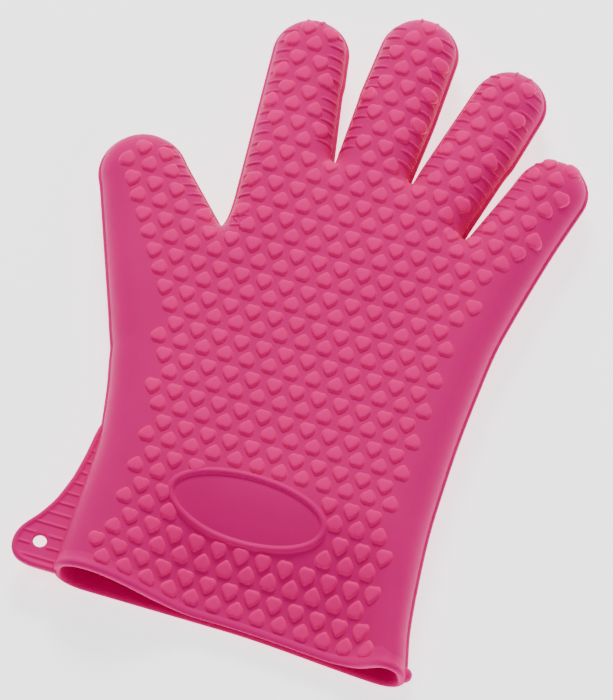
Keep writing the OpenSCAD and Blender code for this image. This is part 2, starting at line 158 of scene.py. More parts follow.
# Webs between the fingers, in a finger's own frame: finger, from side, to side, far end
WEBS = [("middle", -31, 22, -54.5), ("little", -24, 11, -34.2), ("thumb", -12, 25.5, -31.2)]
WEB_LENGTH = 38
# Lower ends of the gaps between the fingers: x, y, lean in degrees, half width there, growth per mm
GAPS = [(-6.2, 64, -5.8, 1.05, 0.1), (24.5, 64.6, 6.4, 1.15, 0.065), (51.3, 48.1, 16, 1.25, 0.055)]
GAP_REACH = 30.0  # a gap widens over this length; further up the fingers diverge on their own

# ---------------------------------------------------------------- outline in the parting plane

PAST_RIM = 30  # the outline runs on below the rim, so that the walls meet the mouth squarely
FILLET = 4.0  # over which the outer sides of the thumb and little finger run into the palm
FILLET_START, FILLET_FADE = -44, 22  # along a finger from its root


def smooth(t):
    t = np.clip(t, 0, 1)
    return t * t * (3 - 2 * t)


def edge(knots, y):
    """A smooth curve through the knots, by Catmull-Rom."""
    v = np.array(knots, float)
    p = np.maximum(0, (y - RIM_Y) / EDGE_STEP)
    i = np.minimum(len(v) - 2, np.floor(p)).astype(int)
    t = np.minimum(p - i, 1)
    a, b = v[np.maximum(i - 1, 0)], v[i]
    c, d = v[np.minimum(i + 1, len(v) - 1)], v[np.minimum(i + 2, len(v) - 1)]
    return b + 0.5 * t * (c - a + t * (2 * a - 5 * b + 4 * c - d + t * (3 * b - a - 3 * c + d)))


def glove_inside(x, y):
    """Roughly how far inside the outline a point is, positive inside."""
    sides = np.minimum(x - edge(THUMB_EDGE, y), edge(OUTER_EDGE, y) - x)
    best = np.minimum(sides, np.minimum(PALM_END - y, y - RIM_Y + PAST_RIM))
    for f in FINGERS.values():
        finger = f.inside(x, y)
        s, u = f.local(x, y)
        outer = {"thumb": u < 0, "little": u > 0}.get(f.name, False)
        blend = FILLET * np.maximum(0, 1 - np.abs(sides - finger) / FILLET) ** 2 / 4
        fade = smooth((s - f.root - FILLET_START) / FILLET_FADE)
        best = np.maximum(best, finger) + np.where(outer, blend, 0) * fade
    for name, low, high, end in WEBS:
        s, u = FINGERS[name].local(x, y)
        across, along = np.minimum(u - low, high - u), np.minimum(end - s, s - end + WEB_LENGTH)
        best = np.maximum(best, np.minimum(across, along))
    for gap_x, gap_y, lean, half, growth in GAPS:
        a = math.radians(lean)
        s = (x - gap_x) * math.sin(a) + (y - gap_y) * math.cos(a)
        u = (x - gap_x) * math.cos(a) - (y - gap_y) * math.sin(a)
        width = half + growth * np.minimum(s, 2 * GAP_REACH - s)
        best = np.minimum(best, np.where(s < 0, np.hypot(s, u) - half, np.abs(u) - width))
    return best


def contour(values, xs, ys):
    """The longest closed line where values, on a grid, pass zero."""
    ends, links = {}, {}

    def crossing(i, j, di, dj):
        key = (i, j, di)
        if key not in ends:
            a, b = values[i, j], values[i + di, j + dj]
            t = a / (a - b)
            ends[key] = (xs[i] + t * di * (xs[1] - xs[0]), ys[j] + t * dj * (ys[1] - ys[0]))
        return key

    sign = values > 0
    cells = sign[:-1, :-1].astype(int) + sign[1:, :-1] + sign[:-1, 1:] + sign[1:, 1:]
    for i, j in np.argwhere((cells > 0) & (cells < 4)):
        sides = [(i, j, 1, 0), (i + 1, j, 0, 1), (i, j + 1, 1, 0), (i, j, 0, 1)]
        cuts = [crossing(a, b, da, db) for a, b, da, db in sides
                if sign[a, b] != sign[a + da, b + db]]
        for a, b in zip(cuts[::2], cuts[1::2]):
            links.setdefault(a, []).append(b)
            links.setdefault(b, []).append(a)
    best, left = [], set(links)
    while left:
        first = left.pop()
        line, here = [first], first
        while True:
            ahead = [k for k in links[here] if k in left]
            if not ahead:
                break
            here = ahead[0]
            left.discard(here)
            line.append(here)
        if len(line) > len(best):
            best = line
    return np.array([ends[k] for k in best])


def resample(line, step):
    """The closed line again, with its points evenly spaced."""
    closed = np.vstack([line, line[:1]])
    lengths = np.linalg.norm(np.diff(closed, axis=0), axis=1)
    run = np.concatenate([[0], np.cumsum(lengths)])
    n = int(round(run[-1] / step))
    at = np.arange(n) * run[-1] / n
    return np.stack([np.interp(at, run, closed[:, k]) for k in (0, 1)], 1)


def soften(line, sigma, step):
    """Gaussian smoothing of a closed line."""
    reach = int(3 * sigma / step)
    k = np.exp(-0.5 * (np.arange(-reach, reach + 1) * step / sigma) ** 2)
    k /= k.sum()
    long = np.vstack([line[-reach:], line, line[:reach]])
    return np.stack([np.convolve(long[:, a], k, "valid") for a in (0, 1)], 1)


# A grid over the whole outline with a little room round it
STEP = 0.75
GX = np.arange(-104, 106, STEP)
GY = np.arange(RIM_Y - 34, 142, STEP)
LINE_STEP = 0.5
OUTLINE_SOFTNESS = 1.1

gx, gy = np.meshgrid(GX, GY, indexing="ij")
rough = glove_inside(gx, gy)
OUTLINE = soften(resample(contour(rough, GX, GY), LINE_STEP), OUTLINE_SOFTNESS, LINE_STEP)
after = np.roll(OUTLINE, -1, 0)
if np.sum(OUTLINE[:, 0] * after[:, 1] - after[:, 0] * OUTLINE[:, 1]) < 0:
    OUTLINE = OUTLINE[::-1].copy()

tree = KDTree(len(OUTLINE))
for i, p in enumerate(OUTLINE):
    tree.insert((p[0], p[1], 0), i)
tree.balance()


def true_distance(x, y):
    """Signed distance to the outline, positive inside."""
    ids = np.array([tree.find((a, b, 0))[1] for a, b in zip(x, y)])
    p = np.stack([x, y], 1)
    best, sign = np.full(len(x), np.inf), np.ones(len(x))
    for k in (-1, 0):
        a = OUTLINE[(ids + k) % len(OUTLINE)]
        b = OUTLINE[(ids + k + 1) % len(OUTLINE)]
        ab = b - a
        t = np.clip(((p - a) * ab).sum(1) / (ab * ab).sum(1), 0, 1)
        away = p - a - t[:, None] * ab
        d = np.linalg.norm(away, axis=1)
        inner = ab[:, 0] * away[:, 1] - ab[:, 1] * away[:, 0] > 0
        closer = d < best
        best = np.where(closer, d, best)
        sign = np.where(closer, np.where(inner, 1.0, -1.0), sign)
    return best * sign


# Distances matter only near the outline; elsewhere the grid holds FAR, plus or minus
NEAR, FAR = 24, 30.0
near = np.abs(rough) < NEAR
DIST = np.where(rough > 0, FAR, -FAR)
DIST[near] = np.clip(true_distance(gx[near], gy[near]), -FAR, FAR)


def sample(grid, x, y):
    """Cubic interpolation of a grid over GX, GY."""
    u, v = (x - GX[0]) / STEP, (y - GY[0]) / STEP
    i = np.clip(np.floor(u).astype(int), 1, grid.shape[0] - 3)
    j = np.clip(np.floor(v).astype(int), 1, grid.shape[1] - 3)

    def weights(t):
        return (-0.5 * t + t * t - 0.5 * t ** 3, 1 - 2.5 * t * t + 1.5 * t ** 3,
                0.5 * t + 2 * t * t - 1.5 * t ** 3, -0.5 * t * t + 0.5 * t ** 3)

    wa, wb = weights(u - i), weights(v - j)
    out = 0.0
    for m in range(4):
        row = 0.0
        for n in range(4):
            row = row + wb[n] * grid[i + m - 1, j + n - 1]
        out = out + wa[m] * row
    return out


# ---------------------------------------------------------------- thickness of the glove

THINNING = 50  # a finger gets 1 mm thinner on the palm side over this length, up to its tip
SIDE_ROOM = 5


def finger_share(x, y):
    """0 on the palm, growing to 1 towards the fingertips."""
    share = np.zeros_like(x)
    for f in FINGERS.values():
        s, u = f.local(x, y)
        on_finger = np.abs(u) < f.half_width(np.minimum(s, 0)) + SIDE_ROOM
        share = np.maximum(share, smooth((s + THINNING) / THINNING) * on_finger)
    return share


def sag(x, y):
    """How far the palm side has sunk towards the back wall at the mouth."""
    low, high = edge(THUMB_EDGE, y), edge(OUTER_EDGE, y)
    q = (x - (low + high) / 2) / ((high - low) / 2)
    hollow = 1 - smooth((np.abs(q - SAG_CENTRE) - SAG_FLOOR) / SAG_SLOPE)
    hollow = hollow * smooth((1 - np.abs(q)) / SAG_CORNER)
    return MOUTH_SAG * (1 - smooth((y - RIM_Y) / SAG_REACH)) * hollow


def waves(x, y):
    """Slow unevenness of soft silicone lying on a table."""
    long_wave = 0.22 * np.sin(x / 23 + y / 41 + 1.1) * np.sin(y / 31 - x / 57)
    return long_wave + 0.12 * np.sin(x / 13 - y / 19)


def field(p, inset=0.0):
    """Positive inside the glove's outer skin, or inside its hollow with inset = wall."""
    x, y, z = p[:, 0], p[:, 1], p[:, 2]
    return profile(sample(DIST, x, y), finger_share(x, y), sag(x, y), waves(x, y), z, inset)


def profile(d, share, sunk, wave, z, inset):
    """The field from distance to the outline, thinning, sag and unevenness at a point."""
    a = np.maximum(0, 1 - (d - inset) / (EDGE_R - inset))
    crown = np.clip(d / CROWN_REACH, 0, 1)
    up = FRONT_H - inset - share
    down = BACK_H - inset
    top = np.maximum(0, (z - PART_Z + sunk - wave * crown) / up)
    bottom = np.maximum(0, (PART_Z - z) / down)
    q_up = (a ** EDGE_N + top ** EDGE_N) ** (1 / EDGE_N)
    q_down = (a ** EDGE_N + bottom ** EDGE_N) ** (1 / EDGE_N)
    return np.minimum((1 - q_up) * up, (1 - q_down) * down)


FIELD_PROBE, SKIN_PROBE = 0.06, 0.08  # half the distance over which slopes are measured
SETTLE_ROUNDS = 4
LEAST_SLOPE2 = 0.05


def gradient(p, inset=0.0):
    g = np.zeros_like(p)
    for k in range(3):
        h = np.zeros(3)
        h[k] = FIELD_PROBE
        g[:, k] = (field(p + h, inset) - field(p - h, inset)) / (2 * FIELD_PROBE)
    return g


def unit(v):
    return v / np.maximum(np.linalg.norm(v, axis=-1, keepdims=True), 1e-9)


def settle(p, inset):
    """Moves points onto the skin, and returns them with the outward direction there."""
    for _ in range(SETTLE_ROUNDS):
        g = gradient(p, inset)
        g2 = np.maximum((g * g).sum(1), LEAST_SLOPE2)
        p = p - np.clip(field(p, inset) / g2, -1, 1)[:, None] * g
    return p, -unit(gradient(p, inset))


def skin_height(x, y, side):
    """Height of the outer skin above or below a point, side +1 for the palm side."""
    d, share, sunk, wave = sample(DIST, x, y), finger_share(x, y), sag(x, y), waves(x, y)
    arch = np.maximum(0, 1 - np.clip(1 - d / EDGE_R, 0, 1) ** EDGE_N) ** (1 / EDGE_N)
    if side > 0:
        return PART_Z + (FRONT_H - share) * arch - sunk + wave * np.clip(d / CROWN_REACH, 0, 1)
    return PART_Z - BACK_H * arch


def skin_normal(x, y, side):
    h = SKIN_PROBE
    slope_x = (skin_height(x + h, y, side) - skin_height(x - h, y, side)) / (2 * h)
    slope_y = (skin_height(x, y + h, side) - skin_height(x, y - h, side)) / (2 * h)
    return unit(np.stack([-slope_x * side, -slope_y * side, np.full_like(slope_x, side)], -1))


# ---------------------------------------------------------------- materials

MOTTLE_SCALE, MOTTLE = 38, 0.03  # cloudy change of brightness
SHEEN_SCALE, SHEEN = 140, 0.05  # cloudy change of roughness
GRAIN_SCALE, GRAIN_DEPTH = 1900, 0.00006  # fine skin texture, in metres


def silicone(name, colour, roughness, grain):
    """Satin moulded silicone: slightly mottled, with a fine skin texture."""
    m = bpy.data.materials.new(name)
    m.use_nodes = True
    nodes, links = m.node_tree.nodes, m.node_tree.links
    bsdf = nodes["Principled BSDF"]
    place = nodes.new("ShaderNodeTexCoord")

    def noise(scale, detail):
        n = nodes.new("ShaderNodeTexNoise")
        n.inputs["Scale"].default_value = scale
        n.inputs["Detail"].default_value = detail
        links.new(place.outputs["Object"], n.inputs["Vector"])
        return n

    def spread(source, low, high):
        """The noise's usual range, mapped to low and high."""
        r = nodes.new("ShaderNodeMapRange")
        r.inputs["From Min"].default_value = 0.3
        r.inputs["From Max"].default_value = 0.7
        r.inputs["To Min"].default_value = low
        r.inputs["To Max"].default_value = high
        links.new(source.outputs["Fac"], r.inputs["Value"])
        return r

    cloud = spread(noise(MOTTLE_SCALE, 3), 1 - MOTTLE, 1 + MOTTLE)
    tint = nodes.new("ShaderNodeHueSaturation")
    tint.inputs["Color"].default_value = (*colour, 1)
    links.new(cloud.outputs["Result"], tint.inputs["Value"])
    links.new(tint.outputs["Color"], bsdf.inputs["Base Color"])
    sheen = spread(noise(SHEEN_SCALE, 4), roughness - SHEEN, roughness + SHEEN)
    links.new(sheen.outputs["Result"], bsdf.inputs["Roughness"])
    bsdf.inputs["Specular IOR Level"].default_value = 0.2
    bsdf.inputs["Specular Tint"].default_value = (1, 0.02, 0.3, 1)
    bump = nodes.new("ShaderNodeBump")
    bump.inputs["Strength"].default_value = grain
    bump.inputs["Distance"].default_value = GRAIN_DEPTH
    links.new(noise(GRAIN_SCALE, 3).outputs["Fac"], bump.inputs["Height"])
    links.new(bump.outputs["Normal"], bsdf.inputs["Normal"])
    return m


WALL_PINK = silicone("silicone_wall", (0.68, 0.001, 0.175), 0.58, 0.35)
# The studs are a brighter pink than the walls: partly wear, partly painted light on their raised tops, where the
# light falls
STUD_PINK_WEAR_AND_PAINTED_LIGHT = silicone("silicone_stud", (0.92, 0.001, 0.215), 0.58, 0.2)
RIM_PINK = silicone("silicone_rim", (0.74, 0.001, 0.19), 0.54, 0.2)

# ---------------------------------------------------------------- building pieces

# The mouth isn't square: below DROOP_REACH its points rise a little on the thumb side and hang
# lower towards the little-finger corner
DROOP_REACH = 62
DROOP_RISE, DROOP_FALL = 1.1, 3.6
DROOP_START, DROOP_WIDTH = 12, 74


def droop(points):
    p = np.array(points, float)
    fade = 1 - smooth((p[:, 1] - RIM_Y) / DROOP_REACH)
    p[:, 1] += fade * (DROOP_RISE - DROOP_FALL * smooth((p[:, 0] - DROOP_START) / DROOP_WIDTH))
    return p


def make(name, points, faces, material, normals=None):
    mesh = bpy.data.meshes.new(name)
    corners = [list(map(int, f)) for f in faces]
    mesh.from_pydata((droop(points) * MM).tolist(), [], corners)
    mesh.validate()
    mesh.shade_smooth()
    if normals is not None:
        mesh.normals_split_custom_set_from_vertices(np.asarray(normals).tolist())
    mesh.materials.append(material)
    obj = bpy.data.objects.new(name, mesh)
    bpy.context.scene.collection.objects.link(obj)
    return obj


def facing(points, faces, probe, direction):
    """The faces, all turned round if faces[probe] looks away from direction."""
    a, b, c = [np.asarray(points[v]) for v in faces[probe][:3]]
    away = np.dot(np.cross(b - a, c - a), direction) < 0
    return [f[::-1] for f in faces] if away else faces


def attach(obj, owner):
    """The object moves with the hand, or, for a finger, is only baked in place and does not bend."""
    if owner == "hand":
        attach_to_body(obj, "hand")
        return
    f = FINGERS[owner]
    start, end = f.world(f.root, 0), f.world(f.root + BEND_LENGTH, 0)
    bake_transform(obj)


OWNERS = ["hand", *FINGERS]
BESIDE = 4.0  # a point this far off a finger's side can still belong to it


def owners(x, y):
    """Name of the finger past whose root a point lies, else hand, as an index into OWNERS."""
    out = np.zeros(len(x), int)
    closest = np.full(len(x), BESIDE)
    for k, f in enumerate(FINGERS.values(), 1):
        s, u = f.local(x, y)
        beyond = f.beyond(s, u)
        mine = (s > f.root) & (beyond < closest)
        out[mine] = k
        closest[mine] = beyond[mine]
    return out


def compact(points, faces, *extra):
    """Only the points that the faces use."""
    used, flat = np.unique(faces, return_inverse=True)
    return (points[used], flat.reshape(faces.shape), *[e[used] for e in extra])


def strip_faces(rows, columns):
    """Quads over a grid of points that are numbered row by row."""
    return [(i * columns + j, (i + 1) * columns + j, (i + 1) * columns + j + 1, i * columns + j + 1)
            for i in range(rows - 1) for j in range(columns - 1)]


def quads_at_zero(values, band, step, corner):
    """Points and quads where values, on a grid, pass zero; values are positive outside."""
    grid = openvdb.FloatGrid(band)
    grid.copyFromArray(np.clip(values, -band, band).astype(np.float32))
    points, quads = grid.convertToQuads(isovalue=0.0)
    return points.astype(float) * step + np.array(corner), quads.astype(int)


# ---------------------------------------------------------------- walls: outer skin and lining

VOXEL = 1.0
SHELL_BAND = 6.0
WALL_START = 2.4  # the walls start this far above the rim, inside the lip


def shell(inset):
    xs = np.arange(GX[0] + 2, GX[-1] - 2, VOXEL)
    ys = np.arange(RIM_Y - 4, 139, VOXEL)
    zs = np.arange(-2, 25, VOXEL)
    x, y = np.meshgrid(xs, ys, indexing="ij")
    fx, fy = x.ravel(), y.ravel()
    d, share, sunk, wave = sample(DIST, fx, fy), finger_share(fx, fy), sag(fx, fy), waves(fx, fy)
    vol = profile(d[:, None], share[:, None], sunk[:, None], wave[:, None], zs[None, :], inset)
    vol = vol.reshape(len(xs), len(ys), len(zs)).astype(np.float32)
    points, quads = quads_at_zero(-vol, SHELL_BAND, VOXEL, [xs[0], ys[0], zs[0]])
    points, out = settle(points, inset)
    a, b, c = points[quads[:, 0]], points[quads[:, 1]], points[quads[:, 2]]
    wrong = (np.cross(b - a, c - a) * out[quads[:, 0]]).sum(1) < 0
    quads[wrong] = quads[wrong][:, ::-1]
    return points, quads, out


def wall_pieces():
    skin, skin_quads, skin_out = shell(0.0)
    lining, lining_quads, lining_out = shell(WALL)
    points = np.vstack([skin, lining])
    quads = np.vstack([skin_quads, lining_quads[:, ::-1] + len(skin)])
    out = np.vstack([skin_out, -lining_out])
    centre = points[quads].mean(1)
    keep = centre[:, 1] > RIM_Y + WALL_START
    quads, centre = quads[keep], centre[keep]
    owner = owners(points[:, 0], points[:, 1])[quads].max(1)
    on_hand, upper, cuff = owner == 0, centre[:, 2] > PART_Z, centre[:, 1] < CUFF_TOP
    parts = [
        ("cuff_front", on_hand & cuff & upper, "hand"),
        ("cuff_back", on_hand & cuff & ~upper, "hand"),
        ("palm_front", on_hand & ~cuff & upper, "hand"),
        ("palm_back", on_hand & ~cuff & ~upper, "hand"),
    ]
    parts += [(finger, owner == k, finger) for k, finger in enumerate(FINGERS, 1)]
    for name, mask, body in parts:
        p, q, n = compact(points, quads[mask], out)
        obj = make(name + "_wall", p, q, WALL_PINK, n)
        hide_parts(*([name] if body == "hand" else [name + "_root", name + "_tip"]))
        attach(obj, body)


wall_pieces()

# ---------------------------------------------------------------- heart studs

HEART_POINTS = 28
HEART_W, HEART_H = 5.8, 5.9
HEART_SHARE = 0.4  # of a classic heart curve, the rest being an ellipse
STUD_RISE = 1.1
STUD_RINGS = [(1.25, -0.3), (1.13, 0.05), (1.04, 0.3), (0.97, 0.64), (0.88, 0.88), (0.7, 1.02),
              (0.35, 1.09)]  # size of the outline and rise over the skin
BACK_RISE = PART_Z - BACK_H  # the back studs reach the table
BADGE_RIM = 1.3  # half the width of the badge's rim
BADGE_SINK = -0.4  # studs that would reach into the badge stay under the skin there

# Rows of hearts point to the fingers and to the cuff by turns
FIRST_ROW, FIRST_COLUMN = RIM_Y + 7.1, 7.3
COLUMN_PITCH, ROW_PAIR_PITCH, ROW_PITCH = 8.8, 13.8, 5.9
ROW_PAIRS, COLUMNS = 20, range(-11, 10)


def heart_outline(n):
    """A plump heart, one wide and one tall."""
    t = np.linspace(0, 2 * math.pi, n, endpoint=False)
    rest = 1 - HEART_SHARE
    lobes = (13 * np.cos(t) - 5 * np.cos(2 * t) - 2 * np.cos(3 * t) - np.cos(4 * t)) / 15
    x = HEART_SHARE * np.sin(t) ** 3 + rest * np.sin(t)
    y = HEART_SHARE * lobes + rest * np.cos(t)
    x = x / (2 * x.max())
    y = (y - y.min()) / (y.max() - y.min()) - 0.5
    return np.stack([x, y], 1)


HEART = heart_outline(HEART_POINTS)


def badge_reach(x, y, grow):
    """Under 1 inside the badge oval, grown by so many mm."""
    across = (x - BADGE[0]) / (BADGE_HALF[0] + grow)
    return across ** 2 + ((y - BADGE[1]) / (BADGE_HALF[1] + grow)) ** 2


def stud_places():
    """Every heart's x, y and which way it points: 0 to the fingers, 1 to the cuff."""
    return np.array([(FIRST_COLUMN + COLUMN_PITCH * (i + k / 2),
                      FIRST_ROW + ROW_PAIR_PITCH * j + ROW_PITCH * k, k)
                     for j in range(ROW_PAIRS) for k in (0, 1) for i in COLUMNS])


def stud_mesh(places, side):
    """Hearts standing on the skin, side +1 for the palm side."""
    m = len(HEART)
    turn = np.where(places[:, 2] > 0.5, 1.0, -1.0)
    cx, cy = places[:, 0], places[:, 1]
    rows = []
    for scale, rise in STUD_RINGS + [(0.0, STUD_RISE)]:
        outline = HEART * scale if scale else np.zeros((1, 2))
        x = (cx[:, None] + turn[:, None] * outline[None, :, 0] * HEART_W).ravel()
        y = (cy[:, None] + turn[:, None] * outline[None, :, 1] * HEART_H).ravel()
        lift = rise if rise < 0 or side > 0 else rise * (BACK_RISE / STUD_RISE)
        if side > 0:
            in_badge = badge_reach(x, y, -BADGE_RIM) < 1
            lift = np.where(in_badge, BADGE_SINK, lift)[:, None]
        p = np.stack([x, y, skin_height(x, y, side)], 1) + skin_normal(x, y, side) * lift
        rows.append(p.reshape(len(places), -1, 3))
    points = np.concatenate(rows, 1)
    rings = len(STUD_RINGS)
    quads = np.array([(r * m + j, r * m + (j + 1) % m, (r + 1) * m + (j + 1) % m, (r + 1) * m + j)
                      for r in range(rings - 1) for j in range(m)])
    last = (rings - 1) * m
    caps = np.array([(last + j, last + (j + 1) % m, rings * m) for j in range(m)])
    if side > 0:
        quads, caps = quads[:, ::-1], caps[:, ::-1]
    shift = (np.arange(len(places)) * points.shape[1])[:, None, None]
    faces = (quads[None] + shift).reshape(-1, 4).tolist()
    return points.reshape(-1, 3), faces + (caps[None] + shift).reshape(-1, 3).tolist()


# Least distance from a heart's centre to the outline
FINGER_MARGIN, HAND_MARGIN, BACK_MARGIN = 3.7, 4.6, 7
LOWEST_HEART = RIM_Y + 6
HEART_SPLIT = CUFF_TOP - 4  # hearts below it belong to the cuff
BADGE_CLEAR = 0.6  # no heart's centre is nearer to the badge
OUTER_HALF_X, LITTLE_TIP_S = 40, 2  # the outer margin counts from there, up to the little fingertip


def thumb_margin(y):
    """Width of the plain strip along the thumb side."""
    upper, lower = 16.8 - 0.2 * (y + 25), 12.3 + 0.045 * (y + 126)
    return np.clip(np.minimum(upper, lower), 4.6, 18)


def outer_margin(y):
    """Width of the plain strip along the little-finger side."""
    return np.clip(13 - 0.16 * (y - 8), 5.6, 13)


def studs():
    places = stud_places()
    x, y = places[:, 0], places[:, 1]
    d = sample(DIST, x, y)
    owner = owners(x, y)
    _, thumb_u = FINGERS["thumb"].local(x, y)
    little_s, little_u = FINGERS["little"].local(x, y)
    thumb_side = (x < 0) & ((y < 0) | (thumb_u < 0))
    outer_side = (x > OUTER_HALF_X) & (little_u > 0) & (little_s < LITTLE_TIP_S)
    keep = (d > np.where(owner > 0, FINGER_MARGIN, HAND_MARGIN)) & (y > LOWEST_HEART)
    keep &= ~(thumb_side & (d < thumb_margin(y))) & ~(outer_side & (d < outer_margin(y)))
    off_badge = badge_reach(x, y, BADGE_CLEAR) > 1
    for side, tag in ((1, ""), (-1, "back_")):
        want = keep & off_badge if side > 0 else keep & (d > BACK_MARGIN)
        for k, name in enumerate(OWNERS):
            mine = want & (owner == k)
            groups = [(name + "_" + tag, mine)]
            if name == "hand":
                groups = [("cuff_" + tag, mine & (y < HEART_SPLIT)),
                          ("palm_" + tag, mine & (y >= HEART_SPLIT))]
            for piece, mask in groups:
                if not mask.any():
                    continue
                p, f = stud_mesh(places[mask], side)
                # the studs take the brighter pink, partly wear and partly painted light
                obj = make(piece + "heart_studs", p, f, STUD_PINK_WEAR_AND_PAINTED_LIGHT)
                if piece + "hearts" in frame["nodes"]:
                    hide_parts(piece + "hearts")
                attach(obj, name)


studs()

# ---------------------------------------------------------------- bead along the parting line

# Section of the bead: outward from the outline, and up
BEAD = [(-0.9, -1.5), (-0.35, -1.32), (0.1, -1.16), (0.55, -0.95), (0.88, -0.55), (1.0, 0.0),
        (0.88, 0.55), (0.55, 0.95), (0.1, 1.16), (-0.35, 1.32), (-0.9, 1.5)]
BEAD_START = 2.2  # above the rim, inside the lip


def bead_run(line, outward):
    rows = [np.stack([line[:, 0] + outward[:, 0] * o, line[:, 1] + outward[:, 1] * o,
                      np.full(len(line), PART_Z + h)], 1) for o, h in BEAD]
    return np.stack(rows, 1).reshape(-1, 3), strip_faces(len(line), len(BEAD))


def beads():
    line = OUTLINE
    run = np.roll(line, -1, 0) - np.roll(line, 1, 0)
    outward = unit(np.stack([run[:, 1], -run[:, 0]], 1))
    owner = owners(line[:, 0] - outward[:, 0], line[:, 1] - outward[:, 1])
    shown = line[:, 1] > RIM_Y + BEAD_START
    n = len(line)
    first = next(i for i in range(n) if not shown[i])
    groups, current = {}, []
    for a in [(first + i) % n for i in range(n + 1)]:
        if current and (not shown[a] or owner[a] != owner[current[0]]):
            joined = current + ([a] if shown[a] else [])
            groups.setdefault(OWNERS[owner[current[0]]], []).append(joined)
            current = []
        if shown[a]:
            current.append(a)
    for who, runs in groups.items():
        points, faces = [], []
        for ids in runs:
            p, f = bead_run(line[ids], outward[ids])
            f = facing(p, f, len(BEAD) // 2, np.append(outward[ids[0]], 0))
            faces += [tuple(v + len(points) for v in q) for q in f]
            points += p.tolist()
        name = "edge_bead" if who == "hand" else who + "_bead"
        obj = make(name + "_round", points, faces, RIM_PINK)
        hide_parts(name)
        attach(obj, who)


beads()

# ---------------------------------------------------------------- lip round the mouth, corner knob

# Half section of the lip, from deep in the cuff to the rim: up from the rim, and half thickness
LIP = [(8.0, 0.70), (6.2, 0.84), (5.0, 0.90), (4.0, 1.02), (3.2, 1.22), (2.5, 1.46), (1.8, 1.62),
       (1.1, 1.56), (0.55, 1.25), (0.18, 0.8), (0.0, 0.28)]
LIP_BACK = 0.55  # share of that thickness on the back, which lies on the table
LIP_CHANGE_LOW, LIP_CHANGE = -6, 7  # height over the parting plane where it starts to grow
CORNER_POINTS = 16


def rim_section(y, inset, n):
    """Closed loop across the cuff at y, shrunk by inset, from the outer side over the front."""
    low, high = float(edge(THUMB_EDGE, y)), float(edge(OUTER_EDGE, y))
    w, mid, r = (high - low) / 2 - inset, (high + low) / 2, EDGE_R - inset
    power = 2 / EDGE_N
    theta = np.linspace(0, math.pi / 2, n)
    arc = np.cos(theta) ** power
    arc[-1] = 0
    flat = np.linspace(1, -1, 3 * n)[1:-1]
    x = mid + np.concatenate([w - r + r * arc, flat * (w - r), -(w - r) - r * arc[::-1]])
    climb = np.sin(theta) ** power
    rise = np.concatenate([climb, np.ones(len(flat)), climb[::-1]])
    rise[0] = rise[-1] = 0
    in_from_side = r * (1 - np.concatenate([arc, np.zeros(len(flat)), arc[::-1]]))
    crown = np.clip((EDGE_R - r + in_from_side) / CROWN_REACH, 0, 1)
    ys = np.full_like(x, y)
    front = PART_Z + (FRONT_H - inset) * rise - sag(x, ys) + waves(x, ys) * crown
    back = PART_Z - (BACK_H - inset) * rise
    return np.vstack([np.stack([x, front], 1), np.stack([x, back], 1)[::-1][1:-1]])


def lip():
    rows = []
    for t, o in LIP + [(t, -o) for t, o in LIP[::-1]]:
        loop = rim_section(RIM_Y + t, WALL / 2, CORNER_POINTS)
        tangent = np.roll(loop, -1, 0) - np.roll(loop, 1, 0)
        normal = unit(np.stack([tangent[:, 1], -tangent[:, 0]], 1))
        if ((loop - loop.mean(0)) * normal).sum() < 0:
            normal = -normal
        growth = smooth((loop[:, 1:] - PART_Z - LIP_CHANGE_LOW) / LIP_CHANGE)
        q = loop + normal * o * (LIP_BACK + (1 - LIP_BACK) * growth)
        rows.append(np.stack([q[:, 0], np.full(len(q), RIM_Y + t), q[:, 1]], 1))
    grid = np.stack(rows, 1)
    n, m = grid.shape[:2]
    faces = [(i * m + j, i * m + j + 1, (i + 1) % n * m + j + 1, (i + 1) % n * m + j)
             for i in range(n) for j in range(m - 1)]
    points = grid.reshape(-1, 3)
    faces = facing(points, faces, len(LIP) - 1, (0, -1, 0))
    obj = make("cuff_lip_rolled", points, faces, RIM_PINK)
    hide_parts("cuff_lip")
    attach(obj, "hand")


lip()

KNOB_ROWS, KNOB_COLUMNS = 28, 40
KNOB_FLATTENED = [1, 1, 0.9]


def knob():
    """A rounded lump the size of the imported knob, a little flatter."""
    low, high = box_mm("corner_knob")
    centre, radii = (low + high) / 2, (high - low) / 2 * KNOB_FLATTENED
    n, m = KNOB_ROWS, KNOB_COLUMNS
    points = []
    for i in range(1, n):
        v = math.pi * i / n
        for j in range(m):
            u = 2 * math.pi * j / m
            way = np.array([math.sin(v) * math.cos(u), math.sin(v) * math.sin(u), math.cos(v)])
            points.append(tuple(centre + way * radii))
    points += [(centre[0], centre[1], centre[2] + z) for z in (radii[2], -radii[2])]
    top, bottom = len(points) - 2, len(points) - 1
    faces = [(i * m + j, (i + 1) * m + j, (i + 1) * m + (j + 1) % m, i * m + (j + 1) % m)
             for i in range(n - 2) for j in range(m)]
    last = (n - 2) * m
    for j in range(m):
        k = (j + 1) % m
        faces += [(top, j, k), (bottom, last + k, last + j)]
    obj = make("corner_knob_round", points, faces, RIM_PINK)
    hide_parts("corner_knob")
    attach(obj, "hand")


knob()

# ---------------------------------------------------------------- badge rim

BADGE_POINTS = 160
# Section of the rim: out from its middle, and rise over the skin
BADGE_SECTION = [(-1.9, -0.22), (-1.45, 0.06), (-1.15, 0.42), (-0.8, 0.85), (-0.4, 1.08), (0, 1.14),
                 (0.4, 1.08), (0.8, 0.85), (1.15, 0.42), (1.45, 0.06), (1.9, -0.22)]


